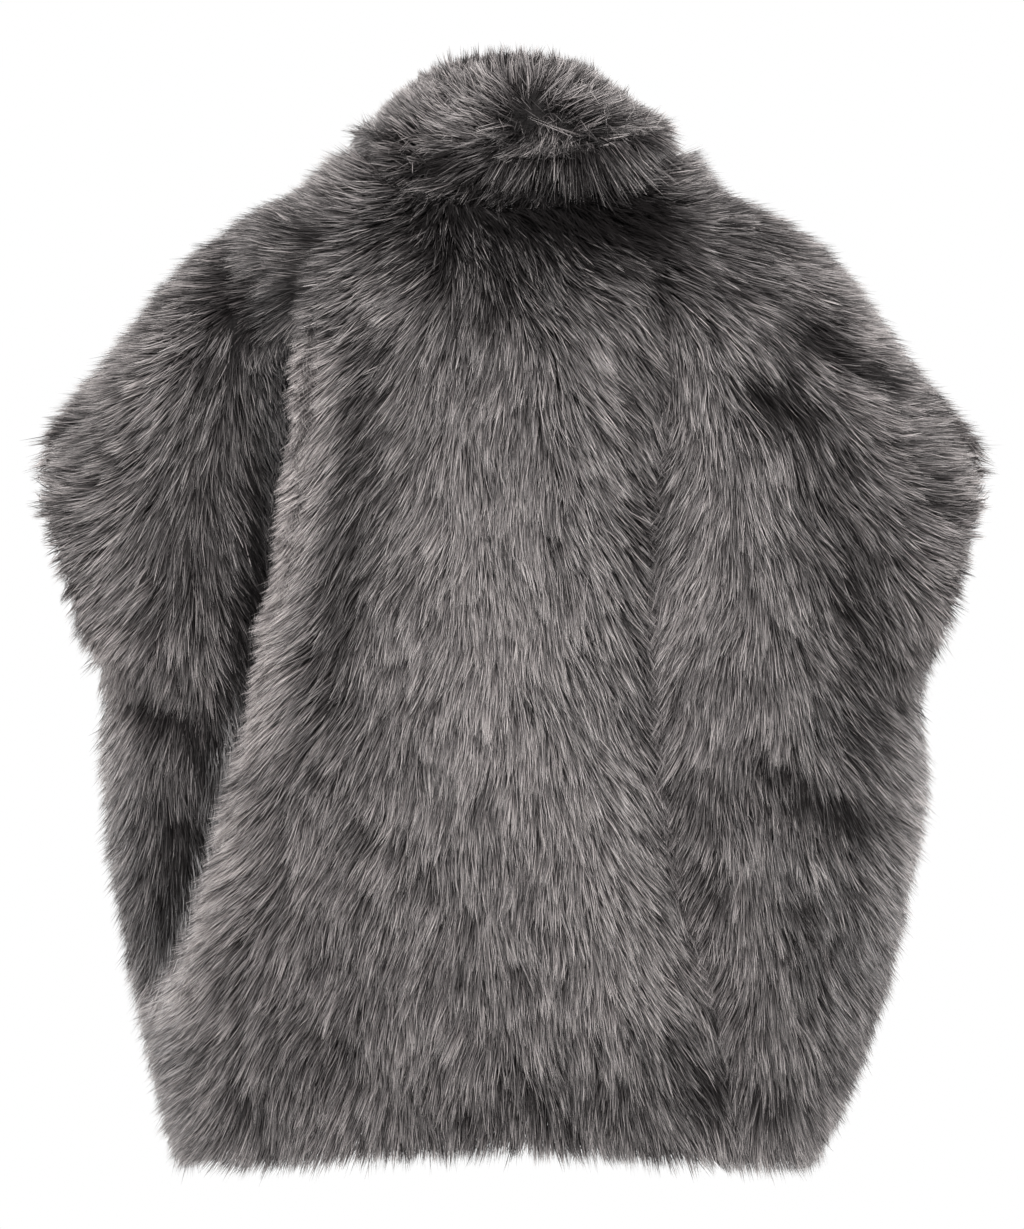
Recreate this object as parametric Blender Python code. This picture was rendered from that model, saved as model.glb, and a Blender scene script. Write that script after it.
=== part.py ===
"""Oversized gilet in long pile, filled out as if worn: back, two fronts and a standing collar.

Metres, +Z up. The back faces -Y, the fronts face +Y and +X is the wearer's right. The origin is the
middle of the neck at the height of the collar seam, where a wearer's shoulders hold the garment.
Every wall is as thick as the pile is deep, so its outer points are where the pile ends.
"""

import math
from typing import NamedTuple

import bmesh
import bpy
import numpy as np

# Driving sizes of the cut
PILE_DEPTH = 0.024
SEAM_GAP = 0.0003
FRONT_OPENING = 0.004
SHOULDER_HALF_WIDTH = 0.342
SHOULDER_TIP_Z = -0.1825
HEM_MIDDLE_Z = -0.669
HEM_SIDE_DROP = 0.026
HEM_DROP_POWER = 1.3
HEM_ROLL = 0.10
HEM_ROLL_HEIGHT = 0.022
NECK_HALF_WIDTH = 0.118
NECK_BACK_DEPTH = 0.112
NECK_FRONT_DEPTH = 0.096
FRONT_NECK_DROP = 0.035
SHOULDER_ROUNDING = 0.150
UNDERARM_Z = -0.335
ARMHOLE_HALF_WIDTH = 0.078
ARMHOLE_EDGE_POWER = 8
INSIDE_FOLD_SHARE = 0.55
INSIDE_FOLD_WIDENING = 1.5
COLLAR_TOP_BACK_Z = 0.112
COLLAR_TOP_FRONT_Z = 0.086

# How finely the sheets are drawn
ROWS = 27
NECK_COLUMNS = 16
BACK_SHOULDER_COLUMNS = 25
FRONT_SHOULDER_COLUMNS = 13
ROW_CROWDING = 1.3
NORMAL_EASING = 6

FUR_COLOUR = (0.12, 0.107, 0.106, 1.0)


class Level(NamedTuple):
    """Half the garment's width, its sideways lean and its depth behind and in front, at one height."""

    z: float
    half_width: float
    lean: float
    back_depth: float
    front_depth: float


LEVELS = (
    Level(-0.705, 0.220, -0.012, 0.160, 0.142),
    Level(-0.675, 0.242, -0.010, 0.166, 0.148),
    Level(-0.640, 0.253, -0.006, 0.170, 0.152),
    Level(-0.566, 0.275, -0.001, 0.172, 0.156),
    Level(-0.493, 0.290, 0.000, 0.171, 0.158),
    Level(-0.420, 0.301, 0.002, 0.169, 0.159),
    Level(-0.347, 0.302, 0.000, 0.166, 0.158),
    Level(-0.274, 0.314, 0.002, 0.162, 0.155),
    Level(-0.237, 0.325, 0.000, 0.160, 0.152),
    Level(-0.200, 0.338, 0.000, 0.157, 0.148),
    Level(SHOULDER_TIP_Z, SHOULDER_HALF_WIDTH, 0.000, 0.156, 0.146),
)


class Ridge(NamedTuple):
    """A point of the shoulder line, from the middle of the neck to the shoulder tip."""

    x: float
    z: float


RIDGE = (
    Ridge(0.000, 0.056),
    Ridge(0.070, 0.056),
    Ridge(NECK_HALF_WIDTH, 0.052),
    Ridge(0.134, 0.041),
    Ridge(0.150, 0.028),
    Ridge(0.165, 0.019),
    Ridge(0.191, 0.004),
    Ridge(0.221, -0.018),
    Ridge(0.241, -0.037),
    Ridge(0.268, -0.073),
    Ridge(0.296, -0.110),
    Ridge(0.327, -0.147),
    Ridge(0.339, -0.166),
    Ridge(SHOULDER_HALF_WIDTH, SHOULDER_TIP_Z),
)


class Fold(NamedTuple):
    """A trough, or a ridge where depth is negative, along a bent line seen from the front.

    left and right are how far it reaches to either side of the line, going from start to end.
    """

    name: str
    start: tuple
    middle: tuple
    end: tuple
    depth: float
    left: float
    right: float


BACK_FOLDS = (
    Fold("left drape", (-0.186, -0.055), (-0.204, -0.310), (-0.262, -0.540), 0.050, 0.019, 0.072),
    Fold("left drape crest", (-0.150, -0.070), (-0.172, -0.330), (-0.236, -0.570), -0.014, 0.034, 0.020),
    Fold("left shoulder break", (-0.150, -0.052), (-0.178, -0.070), (-0.215, -0.086), 0.018, 0.020, 0.016),
    Fold("left underarm crease", (-0.285, -0.335), (-0.250, -0.352), (-0.225, -0.372), 0.018, 0.018, 0.020),
    Fold("right seam drape", (0.098, -0.055), (0.098, -0.330), (0.152, -0.640), 0.015, 0.034, 0.026),
    Fold("right shoulder dent", (0.205, -0.075), (0.232, -0.100), (0.275, -0.122), 0.022, 0.016, 0.016),
    Fold("right arm drape", (0.178, -0.125), (0.226, -0.230), (0.250, -0.345), 0.020, 0.030, 0.026),
    Fold("right waist crease", (0.178, -0.398), (0.215, -0.424), (0.268, -0.444), 0.026, 0.016, 0.024),
    Fold("low right drape", (0.120, -0.440), (0.136, -0.520), (0.142, -0.640), 0.008, 0.022, 0.018),
    Fold("low left dent", (-0.150, -0.575), (-0.130, -0.600), (-0.118, -0.640), 0.010, 0.030, 0.034),
    Fold("middle dent", (-0.020, -0.300), (-0.005, -0.315), (0.020, -0.318), 0.005, 0.020, 0.020),
)

FRONT_FOLDS = (
    Fold("right front drape", (0.150, -0.130), (0.160, -0.380), (0.178, -0.660), 0.022, 0.040, 0.036),
    Fold("left front drape", (-0.156, -0.120), (-0.168, -0.400), (-0.190, -0.660), 0.024, 0.036, 0.042),
    Fold("right breast drape", (0.078, -0.200), (0.082, -0.420), (0.092, -0.650), 0.010, 0.030, 0.032),
    Fold("left breast drape", (-0.070, -0.240), (-0.078, -0.450), (-0.084, -0.650), 0.011, 0.032, 0.028),
    Fold("right arm break", (0.205, -0.150), (0.235, -0.235), (0.252, -0.340), 0.016, 0.028, 0.026),
    Fold("left arm break", (-0.210, -0.160), (-0.238, -0.245), (-0.250, -0.345), 0.015, 0.026, 0.028),
)


class CollarPoint(NamedTuple):
    """A point of the collar's section: its share of the neck's radius and of the collar's height."""

    radius: float
    height: float


COLLAR_SECTION = (
    CollarPoint(0.995, 0.08),
    CollarPoint(0.96, 0.22),
    CollarPoint(0.905, 0.38),
    CollarPoint(0.835, 0.55),
    CollarPoint(0.76, 0.73),
    CollarPoint(0.67, 0.90),
    CollarPoint(0.56, 1.00),
    CollarPoint(0.45, 0.95),
    CollarPoint(0.41, 0.80),
    CollarPoint(0.45, 0.58),
    CollarPoint(0.54, 0.36),
    CollarPoint(0.66, 0.14),
)


class CollarFold(NamedTuple):
    """A swelling of the collar, or a dent where swell is negative, at a bearing from the middle back."""

    name: str
    bearing_deg: float
    height: float
    swell: float
    bearing_reach_deg: float
    height_reach: float


COLLAR_FOLDS = (
    CollarFold("turned roll", 30.0, 0.34, 0.030, 32.0, 0.20),
    CollarFold("slot under the roll", 26.0, 0.05, -0.016, 34.0, 0.10),
    CollarFold("dent over the roll", 14.0, 0.60, -0.016, 14.0, 0.12),
    CollarFold("left dent", -36.0, 0.14, -0.010, 13.0, 0.12),
    CollarFold("left swelling", -52.0, 0.60, 0.006, 30.0, 0.24),
    CollarFold("right swelling", 80.0, 0.16, 0.005, 24.0, 0.22),
)


def smooth_curve(at, stops, values):
    """Values at the given places on a smooth curve through the rows of a table."""
    stops, values = np.asarray(stops, float), np.asarray(values, float)
    slopes = np.gradient(values, stops)
    at = np.clip(at, stops[0], stops[-1])
    i = np.clip(np.searchsorted(stops, at) - 1, 0, len(stops) - 2)
    span = stops[i + 1] - stops[i]
    t = (at - stops[i]) / span
    start = (1 + 2 * t) * (1 - t) ** 2 * values[i] + t * (1 - t) ** 2 * span * slopes[i]
    end = t**2 * (3 - 2 * t) * values[i + 1] + t**2 * (t - 1) * span * slopes[i + 1]
    return start + end


def level(z, column):
    """One column of LEVELS at these heights."""
    return smooth_curve(z, [row.z for row in LEVELS], [getattr(row, column) for row in LEVELS])


def ridge_z(x):
    """Height of the shoulder line at these distances from the middle."""
    return smooth_curve(np.abs(x), [row.x for row in RIDGE], [row.z for row in RIDGE])


def fold_depth(x, z, folds, share=1.0, widening=1.0):
    """How far the folds press the cloth in at points seen from the front."""
    pressed = np.zeros_like(x)
    along = np.linspace(0.0, 1.0, 25)[:, None]
    for fold in folds:
        start, middle, end = (np.array(p) for p in (fold.start, fold.middle, fold.end))
        bend = 2 * middle - (start + end) / 2
        line = (1 - along) ** 2 * start + 2 * along * (1 - along) * bend + along**2 * end
        away = np.stack([x, z], -1)[..., None, :] - line
        distance = np.linalg.norm(away, axis=-1)
        nearest = distance.argmin(-1)
        way = np.gradient(line, axis=0)[nearest]
        off = np.take_along_axis(away, nearest[..., None, None], -2)[..., 0, :]
        on_left = way[..., 0] * off[..., 1] - way[..., 1] * off[..., 0] > 0
        reach = np.where(on_left, fold.left, fold.right) * widening
        pressed += share * fold.depth * np.exp(-((distance.min(-1) / reach) ** 2))
    return pressed


def column_angles(shoulder_columns):
    """Angles of a sheet's columns across the body, with one on each neck point."""
    neck = math.asin(NECK_HALF_WIDTH / SHOULDER_HALF_WIDTH)
    middle = np.linspace(-neck, neck, NECK_COLUMNS + 1)
    side = np.linspace(neck, math.pi / 2, shoulder_columns + 1)[1:]
    return np.concatenate([-side[::-1], middle, side])


def top_heights(x, angles, depth, neck_depth, neck_drop):
    """Where each column ends: on the shoulder line, or on the neckline between the neck points."""
    across = np.clip(np.abs(x) / NECK_HALF_WIDTH, 0.0, 1.0)
    neck_out = neck_depth * np.sqrt(1 - across**2)
    share = np.clip(neck_out / (depth * np.cos(angles).clip(1e-6)), 0.0, 0.95)
    share = np.where(across < 1, share, 0.0)
    drop = SHOULDER_ROUNDING * (1 - np.sqrt(1 - share**2)) + neck_drop * (1 - across**2)
    return ridge_z(x) - drop


def armhole_half_width(z):
    """Half the armhole's width from back to front: an oval from the shoulder tip to the underarm."""
    middle, half = (SHOULDER_TIP_Z + UNDERARM_Z) / 2, (SHOULDER_TIP_Z - UNDERARM_Z) / 2
    return ARMHOLE_HALF_WIDTH * np.sqrt(np.clip(1 - ((z - middle) / half) ** 2, 0.0, 1.0))


def sheet(side, folds, share=1.0, widening=1.0):
    """Points of the whole back (side -1) or front (side 1), rows from hem to shoulder line."""
    column = "back_depth" if side < 0 else "front_depth"
    neck_depth = NECK_BACK_DEPTH if side < 0 else NECK_FRONT_DEPTH
    neck_drop = 0.0 if side < 0 else FRONT_NECK_DROP
    angles = column_angles(BACK_SHOULDER_COLUMNS if side < 0 else FRONT_SHOULDER_COLUMNS)
    across = np.sin(angles)
    top_x = across * SHOULDER_HALF_WIDTH
    top = top_heights(top_x, angles, level(0.0, column), neck_depth, neck_drop)
    hem = HEM_MIDDLE_Z - HEM_SIDE_DROP * np.abs(across) ** HEM_DROP_POWER
    up = 1 - (1 - np.linspace(0.0, 1.0, ROWS + 1)) ** ROW_CROWDING
    z = hem + up[:, None] * (top - hem)
    x = across * level(z, "half_width")
    fall = neck_drop * (1 - np.clip(np.abs(x) / NECK_HALF_WIDTH, 0.0, 1.0) ** 2)
    below_ridge = np.clip((ridge_z(top_x) - fall - z) / SHOULDER_ROUNDING, 0.0, 1.0)
    rounding = np.sqrt(1 - (1 - below_ridge) ** 2)
    roll = 1 - HEM_ROLL * np.exp(-(((z - hem) / HEM_ROLL_HEIGHT) ** 2))
    body = level(z, column) * np.cos(angles) * rounding * roll
    body -= fold_depth(x, z, folds, share, widening) * np.cos(angles) * rounding
    stand_off = armhole_half_width(z) * np.abs(across) ** ARMHOLE_EDGE_POWER
    out = np.maximum(body + stand_off, SEAM_GAP / 2)
    return np.stack([x + level(z, "lean"), side * out, z], -1)


def outward_normals(points, side):
    """Unit normals of a sheet's points, level with the seams at the shoulders and sides."""
    normal = np.cross(np.gradient(points, axis=1), np.gradient(points, axis=0))
    normal *= np.sign(side * normal[ROWS // 2, normal.shape[1] // 2, 1])
    on_seam = np.abs(points[..., 1]) < SEAM_GAP
    for _ in range(NORMAL_EASING):
        normal[..., 1] = np.where(on_seam, 0.0, normal[..., 1])
        normal /= np.linalg.norm(normal, axis=-1, keepdims=True)
        wide = np.pad(normal, ((1, 1), (1, 1), (0, 0)), mode="edge")
        beside = wide[1:-1, :-2] + wide[1:-1, 2:] + wide[:-2, 1:-1] + wide[2:, 1:-1]
        normal = normal / 2 + beside / 8
    normal[..., 1] = np.where(on_seam, 0.0, normal[..., 1])
    return normal / np.linalg.norm(normal, axis=-1, keepdims=True)


def sheet_walls(side, folds):
    """Outer and inner points of the whole back or front, a pile's depth apart."""
    outer = sheet(side, folds)
    plain = sheet(side, folds, INSIDE_FOLD_SHARE, INSIDE_FOLD_WIDENING)
    inner = plain - PILE_DEPTH * outward_normals(plain, side)
    inner[..., 1] = side * np.maximum(side * inner[..., 1], SEAM_GAP / 2)
    on_seam = np.abs(outer[..., 1]) < SEAM_GAP
    inner[..., 1] = np.where(on_seam, outer[..., 1], inner[..., 1])
    return outer, inner


def half_front(points, side):
    """The columns of one front, with its free edge squared off at the opening."""
    middle = points.shape[1] // 2
    half = points[:, middle:] if side > 0 else points[:, : middle + 1]
    half = half.copy()
    half[:, 0 if side > 0 else -1, 0] = side * FRONT_OPENING / 2
    return half


def add_node(name, points, faces, material):
    """A closed mesh object with its faces pointing out."""
    mesh = bpy.data.meshes.new(name)
    mesh.from_pydata([tuple(p) for p in points], [], faces)
    shape = bmesh.new()
    shape.from_mesh(mesh)
    bmesh.ops.recalc_face_normals(shape, faces=shape.faces)
    bmesh.ops.triangulate(shape, faces=shape.faces, quad_method="SHORT_EDGE")
    shape.to_mesh(mesh)
    shape.free()
    mesh.shade_smooth()
    mesh.set_sharp_from_angle(angle=math.radians(50))
    mesh.materials.append(material)
    node = bpy.data.objects.new(name, mesh)
    bpy.context.scene.collection.objects.link(node)
    return node


def rim_strip(first, second):
    """Triangles between two rows of point numbers, always split the same way."""
    strip = []
    for i in range(len(first) - 1):
        strip.append((first[i], first[i + 1], second[i + 1]))
        strip.append((first[i], second[i + 1], second[i]))
    return strip


def add_wall(name, outer, inner, material):
    """A panel: its outer and inner points and the strip all round its edge."""
    rows, columns = outer.shape[:2]
    number = np.arange(rows * columns).reshape(rows, columns)
    hidden = number + rows * columns
    faces = []
    for j in range(rows - 1):
        for i in range(columns - 1):
            at = (j, i), (j, i + 1), (j + 1, i + 1), (j + 1, i)
            faces.append(tuple(int(number[k]) for k in at))
            faces.append(tuple(int(hidden[k]) for k in reversed(at)))
    for edge in (np.s_[0, :], np.s_[-1, :], np.s_[:, 0], np.s_[:, -1]):
        faces += rim_strip(number[edge].tolist(), hidden[edge].tolist())
    points = np.concatenate([outer.reshape(-1, 3), inner.reshape(-1, 3)])
    return add_node(name, points, faces, material)


def neckline(back, left_front, right_front):
    """The neckline's points in order, from the left front's edge round the back to the right's."""
    left = left_front[-1, FRONT_SHOULDER_COLUMNS + 1 :][::-1]
    right = right_front[-1, : NECK_COLUMNS // 2][::-1]
    behind = back[-1, BACK_SHOULDER_COLUMNS : BACK_SHOULDER_COLUMNS + NECK_COLUMNS + 1]
    return np.concatenate([left, behind, right])


def collar_swell(bearing_deg, height):
    """How far the collar's folds push its surface out at this bearing and share of its height."""
    out = 0.0
    for fold in COLLAR_FOLDS:
        across = (bearing_deg - fold.bearing_deg) / fold.bearing_reach_deg
        along = (height - fold.height) / fold.height_reach
        out += fold.swell * math.exp(-(across**2) - along**2)
    return out


def collar_section(base_out, base_in):
    """The ring of points round the collar's wall above one place on the neckline."""
    radius = math.hypot(base_out[0], base_out[1])
    way = np.array([base_out[0], base_out[1], 0.0]) / radius
    bearing = math.degrees(math.atan2(base_out[0], -base_out[1]))
    front_share = (1 - math.cos(math.radians(bearing))) / 2
    top = COLLAR_TOP_BACK_Z + (COLLAR_TOP_FRONT_Z - COLLAR_TOP_BACK_Z) * front_share
    ring = [base_out]
    for i, point in enumerate(COLLAR_SECTION):
        inward = i / (len(COLLAR_SECTION) - 1)
        foot = base_out[2] + (base_in[2] - base_out[2]) * inward
        outside = max(0.0, 1 - 2 * inward)
        reach = radius * point.radius + collar_swell(bearing, point.height) * min(1.0, 2 * outside)
        ring.append(way * reach + np.array([0.0, 0.0, foot + (top - foot) * point.height]))
    ring.append(base_in)
    return ring


def add_collar(outer_line, inner_line, material):
    """The standing collar, sewn on just above the neckline's edge and open at the front."""
    along = np.gradient(outer_line, axis=0)
    lift = np.cross(along, outer_line - inner_line)
    lift *= SEAM_GAP * np.sign(lift[:, 2:]) / np.linalg.norm(lift, axis=1, keepdims=True)
    rings = [collar_section(o, i) for o, i in zip(outer_line + lift, inner_line + lift)]
    for ring, side in ((rings[0], -1), (rings[-1], 1)):
        for point in ring:
            point[0] = side * FRONT_OPENING / 2
    size = len(rings[0])
    number = np.arange(len(rings) * size).reshape(len(rings), size)
    faces = [tuple(number[0].tolist()), tuple(reversed(number[-1].tolist()))]
    for j in range(len(rings) - 1):
        for i in range(size - 1):
            at = (j, i), (j, i + 1), (j + 1, i + 1), (j + 1, i)
            faces.append(tuple(int(number[k]) for k in at))
    faces += rim_strip(number[:, 0].tolist(), number[:, -1].tolist())
    return add_node("collar", np.concatenate(rings), faces, material)


def fur_material():
    """Soft grey pile with a faint sheen."""
    material = bpy.data.materials.new("grey_pile")
    material.use_nodes = True
    shader = material.node_tree.nodes["Principled BSDF"]
    shader.inputs["Base Color"].default_value = FUR_COLOUR
    shader.inputs["Roughness"].default_value = 0.7
    shader.inputs["Metallic"].default_value = 0.0
    return material


def build():
    """Clears the scene and makes the four pieces."""
    for old in list(bpy.data.objects):
        bpy.data.objects.remove(old)
    fur = fur_material()
    back_outer, back_inner = sheet_walls(-1, BACK_FOLDS)
    front_outer, front_inner = sheet_walls(1, FRONT_FOLDS)
    add_wall("back", back_outer, back_inner, fur)
    fronts = {}
    for name, side in (("front_left", -1), ("front_right", 1)):
        fronts[name] = half_front(front_outer, side), half_front(front_inner, side)
        add_wall(name, *(points[:, ::-1] for points in fronts[name]), fur)
    outer_line, inner_line = (
        neckline(back, fronts["front_left"][i], fronts["front_right"][i])
        for i, back in enumerate((back_outer, back_inner))
    )
    add_collar(outer_line, inner_line, fur)


build()
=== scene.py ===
"""Oversized gilet in long grey pile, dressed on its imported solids.

Each panel becomes a thin knitted backing and the pile that grows from it. The pile is cut as locks of
tapered strands, combed along the directions in the comb tables and kept within the solids' outline.
Metres, +Z up, the back faces -Y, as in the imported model.
"""

from __future__ import annotations

import logging
import math
from dataclasses import dataclass
from enum import Enum
from typing import NamedTuple

import bmesh
import bpy
import numpy as np
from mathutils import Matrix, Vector
from mathutils.bvhtree import BVHTree
from mathutils.kdtree import KDTree


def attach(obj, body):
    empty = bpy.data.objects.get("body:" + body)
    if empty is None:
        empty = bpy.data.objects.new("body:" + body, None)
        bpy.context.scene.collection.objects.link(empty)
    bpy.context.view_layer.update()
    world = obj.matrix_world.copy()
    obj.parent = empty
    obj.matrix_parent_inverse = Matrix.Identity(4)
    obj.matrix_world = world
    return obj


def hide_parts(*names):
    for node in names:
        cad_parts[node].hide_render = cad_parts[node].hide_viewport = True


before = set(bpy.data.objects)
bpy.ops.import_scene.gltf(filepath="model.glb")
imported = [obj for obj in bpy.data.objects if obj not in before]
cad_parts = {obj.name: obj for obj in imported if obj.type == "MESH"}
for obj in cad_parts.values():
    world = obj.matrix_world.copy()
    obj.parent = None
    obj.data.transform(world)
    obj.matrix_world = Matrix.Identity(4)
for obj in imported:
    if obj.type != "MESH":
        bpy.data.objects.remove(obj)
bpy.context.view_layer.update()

log = logging.getLogger("gilet")
ROOT_BODY = "root"
PILE_UV = "OFBake"
MERGE_DISTANCE = 1e-5
RAY_START = 0.001
COMB_SOFTNESS = 0.15
TINY = 1e-9


class Side(Enum):
    """Which way a panel faces."""

    BACK = -1
    FRONT = 1


class Zone(Enum):
    """The three fields of the back between the lines where its pile parts."""

    LEFT = 0
    MIDDLE = 1
    RIGHT = 2


class PartLine(NamedTuple):
    """Where the pile's two parting lines run, by height."""

    z: float
    left_x: float
    right_x: float


PART_LINES = (
    PartLine(-0.030, -0.140, 0.097),
    PartLine(-0.093, -0.144, 0.111),
    PartLine(-0.150, -0.148, 0.109),
    PartLine(-0.253, -0.161, 0.097),
    PartLine(-0.351, -0.183, 0.100),
    PartLine(-0.440, -0.206, 0.109),
    PartLine(-0.526, -0.234, 0.134),
    PartLine(-0.560, -0.262, 0.146),
    PartLine(-0.640, -0.318, 0.162),
)


class Comb(NamedTuple):
    """Which way the pile lies at a place: 0 is towards +X, 90 up and -90 down."""

    x: float
    z: float
    angle: float


BACK_COMB = {
    Zone.LEFT: (
        Comb(-0.160, 0.010, 160),
        Comb(-0.170, -0.030, -172),
        Comb(-0.200, -0.035, -174),
        Comb(-0.180, -0.062, -164),
        Comb(-0.240, -0.085, -168),
        Comb(-0.290, -0.140, -165),
        Comb(-0.320, -0.185, -165),
        Comb(-0.300, -0.235, -152),
        Comb(-0.285, -0.290, -135),
        Comb(-0.250, -0.200, -134),
        Comb(-0.272, -0.145, -150),
        Comb(-0.210, -0.115, -116),
        Comb(-0.194, -0.115, -68),
        Comb(-0.178, -0.122, -32),
        Comb(-0.160, -0.098, -50),
        Comb(-0.172, -0.185, -34),
        Comb(-0.203, -0.185, -62),
        Comb(-0.232, -0.180, -120),
        Comb(-0.178, -0.240, -36),
        Comb(-0.205, -0.250, -58),
        Comb(-0.225, -0.250, -100),
        Comb(-0.250, -0.260, -126),
        Comb(-0.205, -0.340, -48),
        Comb(-0.235, -0.360, -90),
        Comb(-0.268, -0.360, -115),
        Comb(-0.225, -0.440, -56),
        Comb(-0.255, -0.450, -92),
        Comb(-0.285, -0.450, -112),
        Comb(-0.250, -0.520, -74),
        Comb(-0.280, -0.530, -105),
        Comb(-0.270, -0.620, -100),
    ),
    Zone.MIDDLE: (
        Comb(0.010, -0.030, -62),
        Comb(-0.060, -0.025, -150),
        Comb(-0.035, -0.015, -66),
        Comb(0.060, -0.030, -30),
        Comb(-0.120, 0.020, 154),
        Comb(-0.120, -0.030, -168),
        Comb(-0.090, -0.085, -138),
        Comb(-0.020, -0.090, -98),
        Comb(0.075, -0.085, -56),
        Comb(-0.135, -0.100, -142),
        Comb(0.000, -0.150, -91),
        Comb(-0.085, -0.170, -116),
        Comb(0.060, -0.170, -66),
        Comb(-0.140, -0.190, -141),
        Comb(0.090, -0.200, -58),
        Comb(0.000, -0.280, -90),
        Comb(-0.080, -0.300, -107),
        Comb(0.060, -0.300, -70),
        Comb(0.088, -0.320, -60),
        Comb(-0.155, -0.300, -142),
        Comb(0.020, -0.420, -87),
        Comb(-0.060, -0.420, -101),
        Comb(-0.130, -0.420, -112),
        Comb(-0.180, -0.420, -143),
        Comb(0.085, -0.420, -65),
        Comb(0.030, -0.530, -85),
        Comb(-0.060, -0.530, -97),
        Comb(-0.150, -0.530, -106),
        Comb(-0.210, -0.530, -138),
        Comb(0.110, -0.530, -68),
        Comb(0.040, -0.630, -88),
        Comb(-0.070, -0.630, -92),
        Comb(-0.170, -0.630, -98),
        Comb(-0.240, -0.630, -120),
        Comb(0.130, -0.630, -78),
    ),
    Zone.RIGHT: (
        Comb(0.135, 0.022, 8),
        Comb(0.120, -0.025, -30),
        Comb(0.170, -0.030, -22),
        Comb(0.230, -0.080, -14),
        Comb(0.120, -0.100, -85),
        Comb(0.170, -0.090, -52),
        Comb(0.178, -0.122, -60),
        Comb(0.202, -0.126, -48),
        Comb(0.190, -0.160, -84),
        Comb(0.172, -0.162, -103),
        Comb(0.218, -0.155, -44),
        Comb(0.230, -0.110, -18),
        Comb(0.290, -0.150, -8),
        Comb(0.315, -0.190, -5),
        Comb(0.300, -0.250, -32),
        Comb(0.285, -0.300, -52),
        Comb(0.270, -0.190, -22),
        Comb(0.235, -0.210, -48),
        Comb(0.195, -0.170, -82),
        Comb(0.155, -0.170, -104),
        Comb(0.125, -0.170, -114),
        Comb(0.120, -0.260, -120),
        Comb(0.160, -0.260, -108),
        Comb(0.200, -0.260, -88),
        Comb(0.245, -0.280, -62),
        Comb(0.120, -0.350, -119),
        Comb(0.160, -0.350, -106),
        Comb(0.205, -0.360, -88),
        Comb(0.250, -0.360, -62),
        Comb(0.275, -0.380, -52),
        Comb(0.130, -0.450, -114),
        Comb(0.175, -0.450, -98),
        Comb(0.220, -0.450, -80),
        Comb(0.260, -0.450, -62),
        Comb(0.155, -0.540, -110),
        Comb(0.200, -0.540, -92),
        Comb(0.240, -0.540, -72),
        Comb(0.175, -0.630, -100),
        Comb(0.220, -0.630, -84),
        Comb(0.250, -0.620, -72),
    ),
}


class Turn(NamedTuple):
    """A wave in the lie of the pile: its most, in radians, its change across and up, and its start."""

    most: float
    across: float
    up: float
    start: float


TURNS = (
    Turn(0.11, 61.0, 23.0, 1.3),
    Turn(0.10, -43.0, 71.0, 0.0),
    Turn(0.08, 113.0, 97.0, 0.0),
)


class Shade(NamedTuple):
    """A stroke of painted shade, or of painted light where its tone is positive: over it the pile seen from
    behind is darker or paler than the rest.
    """

    name: str
    start: tuple
    middle: tuple
    end: tuple
    width: float
    tone: float
    zone: Zone | None = None


# Painted shade in the valleys, creases, seams, under the collar and along the hem; painted light on the
# crests, the rims and the middle of the back.
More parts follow.
